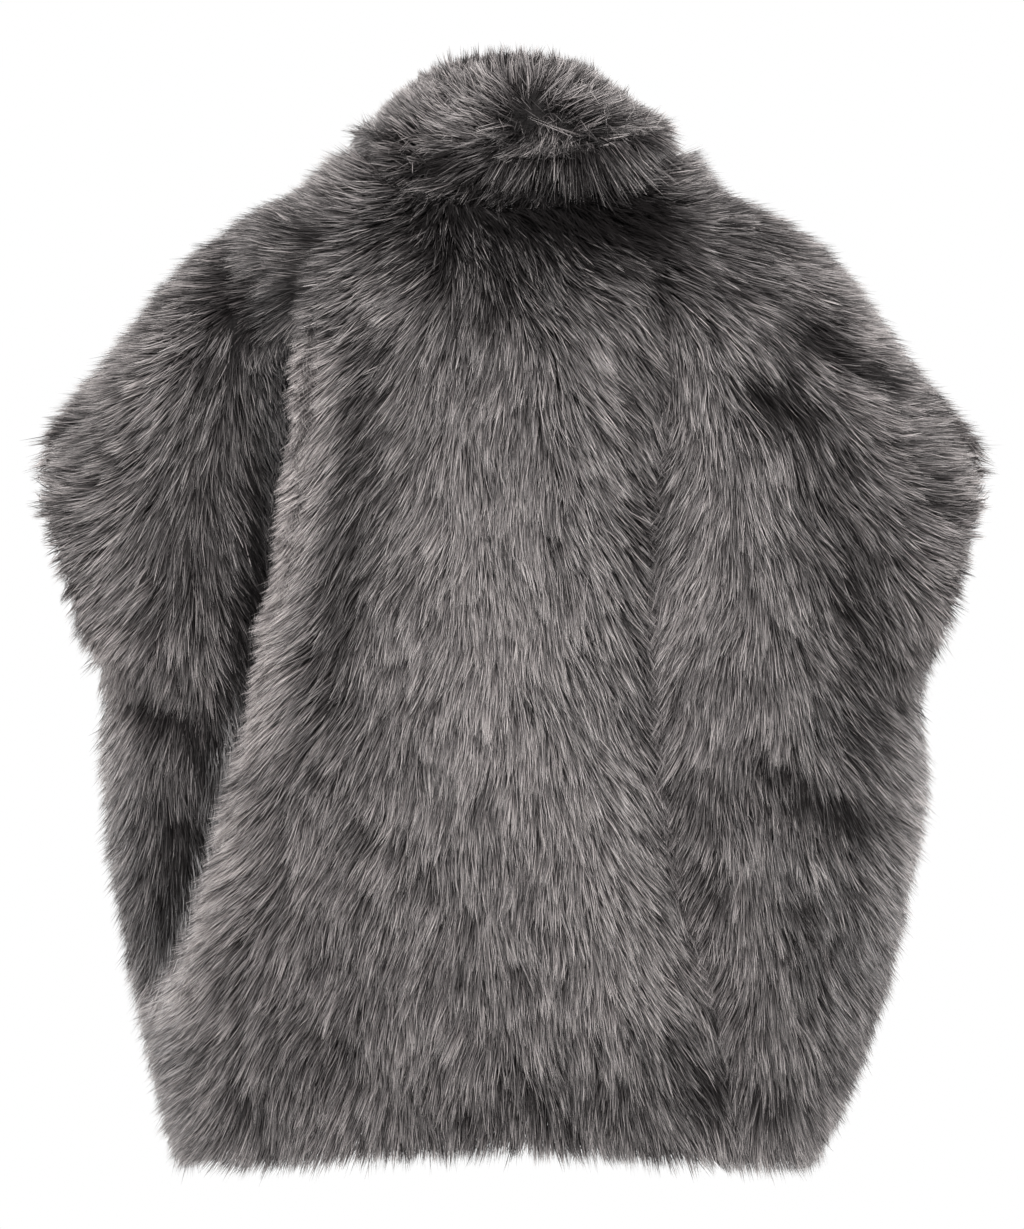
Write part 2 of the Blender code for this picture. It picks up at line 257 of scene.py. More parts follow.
PAINTED_SHADES = (
    Shade("valley", (-0.152, -0.095), (-0.178, -0.290), (-0.240, -0.525), 0.015, -0.55, Zone.LEFT),
    Shade("crest", (-0.143, -0.120), (-0.162, -0.240), (-0.186, -0.375), 0.021, 0.84, Zone.MIDDLE),
    Shade("crest foot", (-0.204, -0.440), (-0.220, -0.505), (-0.242, -0.560), 0.023, 0.56, Zone.MIDDLE),
    Shade("beside the crest", (-0.106, -0.100), (-0.115, -0.230), (-0.127, -0.358), 0.020, -0.42),
    Shade("left lobe", (-0.220, -0.110), (-0.218, -0.200), (-0.228, -0.290), 0.034, -0.22),
    Shade("left lobe low", (-0.238, -0.380), (-0.244, -0.460), (-0.252, -0.525), 0.030, -0.48),
    Shade("left shoulder dent", (-0.182, -0.075), (-0.170, -0.071), (-0.153, -0.054), 0.009, -0.64),
    Shade("middle", (-0.020, -0.200), (-0.008, -0.300), (0.004, -0.400), 0.050, 0.20),
    Shade("low middle", (0.060, -0.420), (0.064, -0.470), (0.070, -0.550), 0.030, 0.20),
    Shade("right seam", (0.105, -0.130), (0.108, -0.195), (0.104, -0.260), 0.018, -0.20),
    Shade("low seam", (0.118, -0.400), (0.130, -0.450), (0.142, -0.490), 0.018, -0.24),
    Shade("hem seam", (0.120, -0.575), (0.130, -0.605), (0.136, -0.630), 0.018, -0.24),
    Shade("right lobe", (0.230, -0.215), (0.248, -0.270), (0.254, -0.380), 0.028, -0.32),
    Shade("right spot", (0.176, -0.138), (0.190, -0.145), (0.206, -0.154), 0.016, -0.60),
    Shade("right shoulder", (0.165, -0.052), (0.196, -0.074), (0.226, -0.094), 0.022, -0.24),
    Shade("right shoulder crease", (0.216, -0.096), (0.240, -0.111), (0.276, -0.128), 0.010, -0.75),
    Shade("right crease", (0.178, -0.400), (0.214, -0.424), (0.252, -0.444), 0.011, -0.46),
    Shade("over the crease", (0.180, -0.372), (0.212, -0.388), (0.240, -0.402), 0.010, 0.08),
    Shade("under the crease", (0.170, -0.425), (0.208, -0.448), (0.248, -0.470), 0.010, 0.10),
    Shade("right low", (0.190, -0.440), (0.205, -0.480), (0.210, -0.530), 0.028, -0.22),
    Shade("hem", (-0.044, -0.644), (0.010, -0.636), (0.205, -0.642), 0.028, -0.26),
    Shade("hem left", (-0.185, -0.650), (-0.150, -0.610), (-0.125, -0.590), 0.024, -0.18),
    Shade("under the collar", (-0.046, -0.022), (0.010, -0.032), (0.110, -0.024), 0.036, -0.52),
    Shade("left of the collar", (-0.152, -0.020), (-0.125, -0.026), (-0.100, -0.024), 0.026, -0.28),
    Shade("right shoulder top", (0.165, -0.020), (0.190, -0.030), (0.215, -0.042), 0.022, -0.14),
    Shade("valley middle", (-0.216, -0.345), (-0.211, -0.362), (-0.207, -0.380), 0.016, 0.26, Zone.LEFT),
    Shade("left fan low", (-0.212, -0.150), (-0.205, -0.170), (-0.200, -0.195), 0.020, -0.16),
    Shade("roll end", (0.052, 0.030), (0.070, 0.033), (0.088, 0.036), 0.018, -0.18),
    Shade("right middle", (0.157, -0.195), (0.158, -0.220), (0.157, -0.245), 0.020, -0.15),
    Shade("right waist", (0.156, -0.345), (0.157, -0.362), (0.158, -0.380), 0.018, -0.15),
    Shade("upper back", (-0.060, -0.070), (0.020, -0.085), (0.110, -0.080), 0.040, -0.18),
    Shade("slot", (-0.026, 0.002), (0.030, -0.006), (0.094, -0.008), 0.019, -0.95),
    Shade("collar valley", (-0.060, 0.028), (-0.018, 0.034), (0.014, 0.058), 0.008, -0.50),
    Shade("neck tuft", (0.096, -0.028), (0.106, -0.034), (0.116, -0.040), 0.014, -0.40),
    Shade("collar foot", (-0.095, 0.014), (-0.050, 0.012), (-0.010, 0.020), 0.018, -0.18),
    Shade("collar whorl", (0.006, 0.050), (0.022, 0.064), (0.036, 0.070), 0.009, -0.34),
    Shade("left shoulder top", (-0.215, -0.030), (-0.185, -0.030), (-0.150, -0.030), 0.022, -0.14),
    Shade("under the dent", (-0.165, -0.088), (-0.155, -0.082), (-0.144, -0.074), 0.018, -0.32),
    Shade("upper middle", (-0.028, -0.105), (-0.016, -0.145), (-0.004, -0.185), 0.036, -0.24),
    Shade("left fan", (-0.225, -0.115), (-0.205, -0.122), (-0.185, -0.130), 0.022, -0.20),
    Shade("left lobe side", (-0.255, -0.185), (-0.250, -0.220), (-0.246, -0.255), 0.022, -0.26),
    Shade("left rim", (-0.300, -0.125), (-0.275, -0.120), (-0.245, -0.120), 0.020, 0.18),
    Shade("left rim low", (-0.290, -0.300), (-0.286, -0.350), (-0.282, -0.420), 0.018, 0.24),
    Shade("right of the neck", (0.150, -0.010), (0.158, -0.045), (0.168, -0.090), 0.022, -0.26),
    Shade("right fan", (0.195, -0.118), (0.205, -0.150), (0.245, -0.170), 0.024, -0.28),
    Shade("right rim", (0.300, -0.190), (0.293, -0.220), (0.285, -0.250), 0.020, -0.20),
    Shade("right flank", (0.255, -0.390), (0.250, -0.420), (0.246, -0.460), 0.020, -0.18),
    Shade("right flank low", (0.250, -0.490), (0.250, -0.550), (0.246, -0.620), 0.024, -0.25),
    Shade("over the hem", (0.110, -0.535), (0.114, -0.555), (0.116, -0.575), 0.016, 0.16),
)


class Lift(NamedTuple):
    """A place where the pile stands higher, or lower where height is negative, seen from behind."""

    name: str
    x: float
    z: float
    reach_x: float
    reach_z: float
    height: float


LIFTS = (
    Lift("left shoulder", -0.280, -0.110, 0.060, 0.070, 0.006),
    Lift("right of the neck", 0.146, 0.034, 0.022, 0.018, -0.008),
    Lift("left of the neck", -0.152, 0.036, 0.028, 0.022, -0.006),
    Lift("collar right", 0.108, 0.062, 0.028, 0.030, 0.007),
    Lift("collar top", 0.020, 0.116, 0.080, 0.022, -0.005),
)


# Given for the wearer's right front and mirrored for the left.
FRONT_COMB = (
    Comb(0.010, -0.100, -106),
    Comb(0.010, -0.240, -106),
    Comb(0.010, -0.380, -106),
    Comb(0.010, -0.520, -106),
    Comb(0.010, -0.640, -104),
    Comb(0.050, -0.180, -84),
    Comb(0.060, -0.350, -88),
    Comb(0.060, -0.600, -90),
    Comb(0.120, -0.050, -48),
    Comb(0.200, -0.050, -28),
    Comb(0.240, -0.090, -22),
    Comb(0.310, -0.180, -12),
    Comb(0.300, -0.250, -38),
    Comb(0.285, -0.310, -58),
    Comb(0.150, -0.200, -80),
    Comb(0.150, -0.400, -86),
    Comb(0.160, -0.600, -88),
    Comb(0.250, -0.450, -82),
    Comb(0.220, -0.620, -86),
)


class CollarComb(NamedTuple):
    """Which way the collar's pile lies at a bearing from the middle back and a share of its height."""

    bearing: float
    height: float
    angle: float


COLLAR_COMB = (
    CollarComb(14, 0.88, 88),
    CollarComb(-12, 0.88, 106),
    CollarComb(-34, 0.86, 116),
    CollarComb(-62, 0.85, 128),
    CollarComb(34, 0.88, 66),
    CollarComb(52, 0.86, 50),
    CollarComb(68, 0.85, 42),
    CollarComb(92, 0.80, 60),
    CollarComb(-6, 0.60, 142),
    CollarComb(-26, 0.62, 142),
    CollarComb(-46, 0.60, 136),
    CollarComb(-70, 0.55, 132),
    CollarComb(-95, 0.50, 118),
    CollarComb(28, 0.64, 34),
    CollarComb(46, 0.66, 20),
    CollarComb(66, 0.62, 14),
    CollarComb(90, 0.50, 24),
    CollarComb(3, 0.45, -126),
    CollarComb(14, 0.48, -97),
    CollarComb(28, 0.48, -70),
    CollarComb(44, 0.50, -44),
    CollarComb(62, 0.46, -18),
    CollarComb(-12, 0.46, 172),
    CollarComb(-28, 0.42, 160),
    CollarComb(-46, 0.42, 142),
    CollarComb(-68, 0.38, 132),
    CollarComb(-95, 0.30, 122),
    CollarComb(4, 0.30, -112),
    CollarComb(18, 0.30, -92),
    CollarComb(34, 0.30, -74),
    CollarComb(52, 0.28, -52),
    CollarComb(70, 0.26, -26),
    CollarComb(-14, 0.30, -166),
    CollarComb(-56, 0.28, 152),
    CollarComb(-82, 0.25, 134),
    CollarComb(-12, 0.13, -118),
    CollarComb(-26, 0.15, -104),
    CollarComb(-40, 0.15, -100),
    CollarComb(-56, 0.12, -150),
    CollarComb(-84, 0.08, 158),
    CollarComb(10, 0.10, -100),
    CollarComb(30, 0.10, -82),
    CollarComb(50, 0.10, -62),
    CollarComb(70, 0.10, -36),
    CollarComb(90, 0.10, 6),
    CollarComb(128, 0.20, -84),
    CollarComb(128, 0.50, -80),
    CollarComb(128, 0.85, -72),
    CollarComb(-128, 0.20, -96),
    CollarComb(-128, 0.50, -100),
    CollarComb(-128, 0.85, -108),
    CollarComb(172, 0.20, -90),
    CollarComb(172, 0.55, -88),
    CollarComb(172, 0.90, -86),
    CollarComb(-172, 0.20, -90),
    CollarComb(-172, 0.55, -92),
    CollarComb(-172, 0.90, -94),
)


class LongHair(NamedTuple):
    """A place on the collar, by bearing and height, where the pile is longer by a share."""

    name: str
    bearing: float
    z: float
    bearing_reach: float
    z_reach: float
    longer: float

    def weight(self, bearing: np.ndarray, z: np.ndarray) -> np.ndarray:
        """How fully these bearings and heights lie in the place, from 0 to 1."""
        across, along = (bearing - self.bearing) / self.bearing_reach, (z - self.z) / self.z_reach
        return np.exp(-(across**2) - along**2)


LONG_HAIR = (
    LongHair("roll", 28.0, 0.050, 34.0, 0.030, 0.72),
    LongHair("left tuft", -38.0, 0.014, 20.0, 0.016, 0.70),
)


class Value:
    """A shader socket that can be added, taken away and multiplied as a number is."""

    def __init__(self, tree: "ShaderTree", socket: bpy.types.NodeSocket) -> None:
        """Keeps a socket.

        Args:
            tree: the nodes that its sums go into.
            socket: the socket.
        """
        self.tree = tree
        self.socket = socket

    def _sum(self, operation: str, first: object, second: object) -> "Value":
        """Adds one Math node.

        Args:
            operation: the Math node's operation.
            first: its first value, a number or a Value.
            second: its second value.

        Returns:
            The node's result.
        """
        node = self.tree.node("ShaderNodeMath", {"operation": operation}, {0: first, 1: second})
        return Value(self.tree, node.outputs[0])

    def __add__(self, other: object) -> "Value":
        """self + other."""
        return self._sum("ADD", self, other)

    __radd__ = __add__

    def __sub__(self, other: object) -> "Value":
        """self - other."""
        return self._sum("SUBTRACT", self, other)

    def __rsub__(self, other: object) -> "Value":
        """other - self."""
        return self._sum("SUBTRACT", other, self)

    def __mul__(self, other: object) -> "Value":
        """self * other."""
        return self._sum("MULTIPLY", self, other)

    __rmul__ = __mul__


class ShaderTree:
    """The nodes of one new material."""

    def __init__(self, name: str) -> None:
        """Makes the material and clears its nodes.

        Args:
            name: the material's name.
        """
        self.material = bpy.data.materials.new(name)
        self.material.use_nodes = True
        self.nodes = self.material.node_tree.nodes
        self.nodes.clear()

    def node(self, kind: str, settings: dict, inputs: dict) -> bpy.types.Node:
        """Adds a node.

        Args:
            kind: the node's type.
            settings: its properties, and "stops" for a ramp, set before its sockets.
            inputs: numbers, colours, Values or sockets by socket name or number.

        Returns:
            The node.
        """
        made = self.nodes.new(kind)
        for key, setting in settings.items():
            if key == "stops":
                self._stops(made.color_ramp, setting)
            else:
                setattr(made, key, setting)
        for key, given in inputs.items():
            source = given.socket if isinstance(given, Value) else given
            if isinstance(source, bpy.types.NodeSocket):
                self.material.node_tree.links.new(source, made.inputs[key])
            else:
                made.inputs[key].default_value = source
        return made

    @staticmethod
    def _stops(ramp: bpy.types.ColorRamp, stops: tuple) -> None:
        """Sets a ramp's stops.

        Args:
            ramp: the ramp.
            stops: a place and a colour for each stop.
        """
        while len(ramp.elements) > 1:
            ramp.elements.remove(ramp.elements[-1])
        for i, (place, colour) in enumerate(stops):
            element = ramp.elements[0] if i == 0 else ramp.elements.new(place)
            element.position = place
            element.color = (*colour, 1.0)

    def value(self, node: bpy.types.Node, output: object = 0) -> Value:
        """One of a node's outputs as a Value."""
        return Value(self, node.outputs[output])

    def finish(self, settings: dict) -> bpy.types.Material:
        """Adds the surface shader.

        Args:
            settings: its inputs by socket name.

        Returns:
            The material.
        """
        shader = self.node("ShaderNodeBsdfPrincipled", {}, settings)
        self.node("ShaderNodeOutputMaterial", {}, {"Surface": shader.outputs[0]})
        return self.material


@dataclass(frozen=True)
class PileFinish:
    """Soft pile, dark at the root and paler at the tip, each strand of its own tone. The darkness towards the
    root is painted shade where the strands shadow one another; the pale tips are partly the pile's own colour
    and partly painted glint.
    """

    places: tuple = (0.0, 0.32, 0.58, 0.82, 1.0)
    root: tuple = (0.0045, 0.0040, 0.0040)
    low: tuple = (0.0115, 0.0096, 0.0098)
    middle: tuple = (0.072, 0.0646, 0.0644)
    high: tuple = (0.232, 0.215, 0.212)
    tip: tuple = (0.510, 0.482, 0.475)
    # Across the tone: the strands' own random tone, and the strokes of painted light and shade.
    tone_places: tuple = (0.0, 0.5, 1.0)
    dark_tone: tuple = (0.038, 0.034, 0.035)
    plain_tone: tuple = (0.84, 0.84, 0.84)
    pale_tone: tuple = (2.30, 2.26, 2.23)
    roughness: float = 0.38
    specular: float = 0.34
    specular_tint: tuple = (0.96, 0.88, 0.87, 1.0)
    sheen: float = 0.14
    sheen_roughness: float = 0.45
    sheen_tint: tuple = (0.95, 0.90, 0.89, 1.0)

    def material(self) -> bpy.types.Material:
        """Colours the pile from the strand's own map: across it the tone, painted light and shade included,
        along it root to tip.

        Returns:
            The material.
        """
        tree = ShaderTree("long_pile")
        strand = tree.node("ShaderNodeUVMap", {"uv_map": PILE_UV}, {})
        split = tree.node("ShaderNodeSeparateXYZ", {}, {0: strand.outputs[0]})
        colours = (self.root, self.low, self.middle, self.high, self.tip)
        stops = tuple(zip(self.places, colours))
        along = tree.node("ShaderNodeValToRGB", {"stops": stops}, {0: split.outputs[1]})
        shades = tuple(zip(self.tone_places, (self.dark_tone, self.plain_tone, self.pale_tone)))
        tone = tree.node("ShaderNodeValToRGB", {"stops": shades}, {0: split.outputs[0]})
        mixed = tree.node(
            "ShaderNodeMix",
            {"data_type": "RGBA", "blend_type": "MULTIPLY"},
            {0: 1.0, 6: along.outputs[0], 7: tone.outputs[0]},
        )
        return tree.finish(
            {
                "Base Color": mixed.outputs[2],
                "Roughness": self.roughness,
                "Specular IOR Level": self.specular,
                "Specular Tint": self.specular_tint,
                "Sheen Weight": self.sheen,
                "Sheen Roughness": self.sheen_roughness,
                "Sheen Tint": self.sheen_tint,
            }
        )


@dataclass(frozen=True)
class BackingFinish:
    """The knitted ground that the pile is rooted in, seen inside and between the strands."""

    # Near black: painted shade for the gaps between the strands, where the ground shows through.
    dark: tuple = (0.008, 0.0070, 0.0070)
    pale: tuple = (0.022, 0.0198, 0.0195)
    stitches_per_metre: float = 620.0
    stitches_per_rib: float = 6.0
    stitches_per_row: float = 5.0
    rib_bend: float = 1.2
    row_bend: float = 0.8
    bend_detail: float = 1.0
    mottle_scale: float = 60.0
    mottle_detail: float = 4.0
    knit_share: float = 0.6
    mottle_share: float = 0.55
    darker: float = 0.1
    roughness: float = 0.92
    specular: float = 0.2
    bump: float = 0.35
    bump_height: float = 0.001

    def material(self) -> bpy.types.Material:
        """Colours fine ribs of stitches, mottled where the pile's roots show through.

        Returns:
            The material.
        """
        tree = ShaderTree("knitted_ground")
        place = tree.node("ShaderNodeTexCoord", {}, {}).outputs["Object"]
        waves = []
        for way, stitches, bend in (
            ("X", self.stitches_per_rib, self.rib_bend),
            ("Z", self.stitches_per_row, self.row_bend),
        ):
            settings = {"wave_type": "BANDS", "bands_direction": way, "wave_profile": "SIN"}
            inputs = {"Vector": place, "Scale": self.stitches_per_metre / stitches}
            inputs |= {"Distortion": bend, "Detail": self.bend_detail}
            waves.append(tree.node("ShaderNodeTexWave", settings, inputs))
        ribs, rows = (tree.value(wave, 1) for wave in waves)
        spots = {"Vector": place, "Scale": self.mottle_scale, "Detail": self.mottle_detail}
        mottle = tree.value(tree.node("ShaderNodeTexNoise", {}, spots))
        knit = ribs * 0.5 + rows * 0.5
        shade = knit * self.knit_share + mottle * self.mottle_share - self.darker
        colour = tree.node(
            "ShaderNodeMix",
            {"data_type": "RGBA", "clamp_factor": True},
            {0: shade, 6: (*self.dark, 1.0), 7: (*self.pale, 1.0)},
        )
        relief = {"Strength": self.bump, "Distance": self.bump_height, "Height": knit}
        bump = tree.node("ShaderNodeBump", {}, relief)
        return tree.finish(
            {
                "Base Color": colour.outputs[2],
                "Roughness": self.roughness,
                "Specular IOR Level": self.specular,
                "Normal": bump.outputs[0],
            }
        )


@dataclass
class Skin:
    """The open outer face of a solid: its points, their normals and its triangles."""

    points: np.ndarray
    normals: np.ndarray
    faces: np.ndarray
    edge: np.ndarray
    solid: BVHTree
    depths: np.ndarray

    @classmethod
    def of_node(cls, name: str, seed: Vector, crease_deg: float, reach: float) -> "Skin":
        """Reads the face of a node that holds its furthest point in one direction.

        Args:
            name: the CAD node.
            seed: the direction of that point.
            crease_deg: the skin stops at edges that turn more than this.
            reach: how deep its wall is looked into.

        Returns:
            The skin.
        """
        shape = bmesh.new()
        shape.from_mesh(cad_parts[name].data)
        bmesh.ops.remove_doubles(shape, verts=shape.verts, dist=MERGE_DISTANCE)
        shape.normal_update()
        start = max(shape.faces, key=lambda f: f.calc_center_median().dot(seed))
        found, waiting = {start}, [start]
        limit = math.radians(crease_deg)
        while waiting:
            face = waiting.pop()
            for edge in face.edges:
                if len(edge.link_faces) != 2 or edge.calc_face_angle(0.0) > limit:
                    continue
                for other in edge.link_faces:
                    if other not in found:
                        found.add(other)
                        waiting.append(other)
        solid = BVHTree.FromBMesh(shape)
        order = sorted(found, key=lambda f: f.index)
        corners = sorted({v.index for f in order for v in f.verts})
        number = {index: i for i, index in enumerate(corners)}
        shape.verts.ensure_lookup_table()
        points = np.array([shape.verts[i].co for i in corners])
        faces = np.array([[number[v.index] for v in f.verts] for f in order])
        rim = {
            number[v.index]
            for f in order
            for e in f.edges
            if any(x not in found for x in e.link_faces)
            for v in e.verts
        }
        shape.free()
        edge_mask = np.zeros(len(points), bool)
        edge_mask[sorted(rim)] = True
        skin = cls(points, cls._point_normals(points, faces), faces, edge_mask, solid, np.zeros(len(points)))
        skin.depths = skin._sound(reach)
        return skin

    def _sound(self, reach: float) -> np.ndarray:
        """Sounds the wall under each point, from its neighbours where an edge has no depth of its own.

        Args:
            reach: the deepest sounding.

        Returns:
            The depths.
        """
        depths = self.depth(self.points, self.normals, reach)
        known = ~self.edge
        while not known.all():
            total, count = np.zeros(len(depths)), np.zeros(len(depths))
            for i in range(3):
                for j in ((i + 1) % 3, (i + 2) % 3):
                    a, b = self.faces[:, i], self.faces[:, j]
                    np.add.at(total, a, depths[b] * known[b])
                    np.add.at(count, a, known[b])
            found = ~known & (count > 0)
            if not found.any():
                break
            depths[found] = total[found] / count[found]
            known |= found
        return depths

    @staticmethod
    def _point_normals(points: np.ndarray, faces: np.ndarray) -> np.ndarray:
        """Works out normals, each the mean of its triangles by area.

        Args:
            points: the points.
            faces: the triangles.

        Returns:
            A normal for each point.
        """
        a, b, c = (points[faces[:, i]] for i in range(3))
        across = np.cross(b - a, c - a)
        normals = np.zeros_like(points)
        for i in range(3):
            np.add.at(normals, faces[:, i], across)
        return unit(normals)

    def scatter(self, count: int, rng: np.random.Generator) -> tuple[np.ndarray, np.ndarray, np.ndarray]:
        """Spreads points evenly over the skin.

        Args:
            count: how many.
            rng: the source of chance.

        Returns:
            Their places, their normals and the depth of the wall there.
        """
        a, b, c = (self.points[self.faces[:, i]] for i in range(3))
        area = np.linalg.norm(np.cross(b - a, c - a), axis=1)
        ends = np.cumsum(area) / area.sum()
        pick = np.searchsorted(ends, (np.arange(count) + rng.random(count)) / count)
        pick = np.minimum(pick, len(ends) - 1)
        u, v = rng.random(count), rng.random(count)
        fold = u + v > 1
        u, v = np.where(fold, 1 - u, u), np.where(fold, 1 - v, v)
        share = np.stack([1 - u - v, u, v], 1)[..., None]
        corners = self.faces[pick]
        places = (self.points[corners] * share).sum(1)
        depths = (self.depths[corners] * share[..., 0]).sum(1)
        return places, unit((self.normals[corners] * share).sum(1)), depths

    def area(self) -> float:
        """The skin's area."""
        a, b, c = (self.points[self.faces[:, i]] for i in range(3))
        return float(np.linalg.norm(np.cross(b - a, c - a), axis=1).sum() / 2)

    def depth(self, places: np.ndarray, normals: np.ndarray, most: float) -> np.ndarray:
        """How far the solid reaches in from these places, up to a limit.

        Args:
            places: points on the skin.
            normals: the skin's normals there.
            most: the limit.

        Returns:
            The depths.
        """
        found = np.full(len(places), most)
        for i, (place, normal) in enumerate(zip(places, normals)):
            way = Vector(-normal)
            hit = self.solid.ray_cast(Vector(place) + way * RAY_START, way, most * 2)
            if hit[0] is not None:
                found[i] = min(most, hit[3])
        return found


def unit(vectors: np.ndarray) -> np.ndarray:
    """Vectors made one long."""
    return vectors / np.maximum(np.linalg.norm(vectors, axis=-1, keepdims=True), TINY)


def along_surface(way: np.ndarray, normals: np.ndarray) -> np.ndarray:
    """The part of these directions that lies in the surface, one long."""
    return unit(way - normals * (way * normals).sum(-1, keepdims=True))


def combed(rows: np.ndarray, places: np.ndarray, reach: np.ndarray) -> np.ndarray:
    """Angles of a comb table between its rows.

    Args:
        rows: two coordinates and an angle in degrees in each row.
        places: the two coordinates of each place.
        reach: the size of one step in each coordinate.

    Returns:
        The cosine and sine of the angle at each place.
    """
    away = ((places[:, None, :] - rows[None, :, :2]) / reach) ** 2
    weight = 1.0 / (away.sum(-1) + COMB_SOFTNESS) ** 2
    angles = np.radians(rows[:, 2])
    ways = np.stack([np.cos(angles), np.sin(angles)], 1)
    return unit(weight @ ways)


def painted_shades_at(places: np.ndarray, zones: np.ndarray) -> np.ndarray:
    """Sums the strokes of painted light and shade at places seen from behind.

    Args:
        places: x and z of each place.
        zones: the number of the zone that each is rooted in.

    Returns:
        What they add to the tone.
    """
    total = np.zeros(len(places))
    for shade in PAINTED_SHADES:
        nearest = np.full(len(places), np.inf)
        for first, second in ((shade.start, shade.middle), (shade.middle, shade.end)):
            first, step = np.array(first), np.subtract(second, first)
            along = np.clip((places - first) @ step / (step @ step), 0, 1)
            away = places - first - along[:, None] * step
            nearest = np.minimum(nearest, (away**2).sum(1))
        here = np.ones(len(places), bool) if shade.zone is None else zones == shade.zone.value
        total += shade.tone * here * np.exp(-nearest / shade.width**2)
    return total


def lifted(places: np.ndarray) -> np.ndarray:
    """Sums the lifts at these places.

    Args:
        places: the places.

    Returns:
        How much higher the pile stands there.
    """
    total = np.zeros(len(places))
    for lift in LIFTS:
        across = (places[:, 0] - lift.x) / lift.reach_x
        along = (places[:, 2] - lift.z) / lift.reach_z
        total += lift.height * np.exp(-(across**2) - along**2)
    return total


def search_tree(places: np.ndarray) -> KDTree:
    """Sorts places for search.

    Args:
        places: the places.

    Returns:
        A tree that finds the nearest of them.
    """
    tree = KDTree(len(places))
    for i, place in enumerate(places):
        tree.insert(Vector(place), i)
    tree.balance()
    return tree


def add_mesh(
    name: str, points: np.ndarray, faces: np.ndarray, material: bpy.types.Material
) -> bpy.types.Object:
    """A smooth mesh object from arrays.

    Args:
        name: the piece's name.
        points: its points.
        faces: its triangles.
        material: its finish.

    Returns:
        The object, riding on the root body.
    """
    mesh = bpy.data.meshes.new(name)
    mesh.vertices.add(len(points))
    mesh.vertices.foreach_set("co", np.asarray(points, np.float32).ravel())
    mesh.loops.add(faces.size)
    mesh.loops.foreach_set("vertex_index", faces.astype(np.int32).ravel())
    mesh.polygons.add(len(faces))
    mesh.polygons.foreach_set("loop_start", np.arange(0, faces.size, 3, dtype=np.int32))
    mesh.polygons.foreach_set("use_smooth", np.ones(len(faces), bool))
    mesh.update(calc_edges=True)
    mesh.validate()
    mesh.materials.append(material)
    piece = bpy.data.objects.new(name, mesh)
    bpy.context.scene.collection.objects.link(piece)
    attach(piece, ROOT_BODY)
    return piece


@dataclass
class Outline:
    """The solids together, which the pile stays close to."""

    tree: BVHTree

    @classmethod
    def of_nodes(cls) -> "Outline":
        """Joins every CAD node's triangles into one search tree.

        Returns:
            The outline.
        """
        points, faces = [], []
        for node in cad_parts.values():
            start = len(points)
            points += [v.co.copy() for v in node.data.vertices]
            faces += [tuple(start + i for i in p.vertices) for p in node.data.polygons]
        return cls(BVHTree.FromPolygons(points, faces))

    def keep_near(self, places: np.ndarray, most: np.ndarray) -> np.ndarray:
        """Pulls points back that stand too far out.

        Args:
            places: the points.
            most: how far out each may stand.

        Returns:
            The points, moved where they had to be.
        """
        kept = places.copy()
        for i, place in enumerate(places):
            spot = Vector(place)
            near, normal, _, far = self.tree.find_nearest(spot)
            if far > most[i] and (spot - near).dot(normal) > 0:
                kept[i] = near + (spot - near) * (most[i] / far)
        return kept


@dataclass
class Growth:
    """How the pile of one panel grows: roots, directions, sizes and the span of its colours."""

    roots: np.ndarray
    normals: np.ndarray
    ways: np.ndarray
    heights: np.ndarray
    lengths: np.ndarray
    spans: np.ndarray


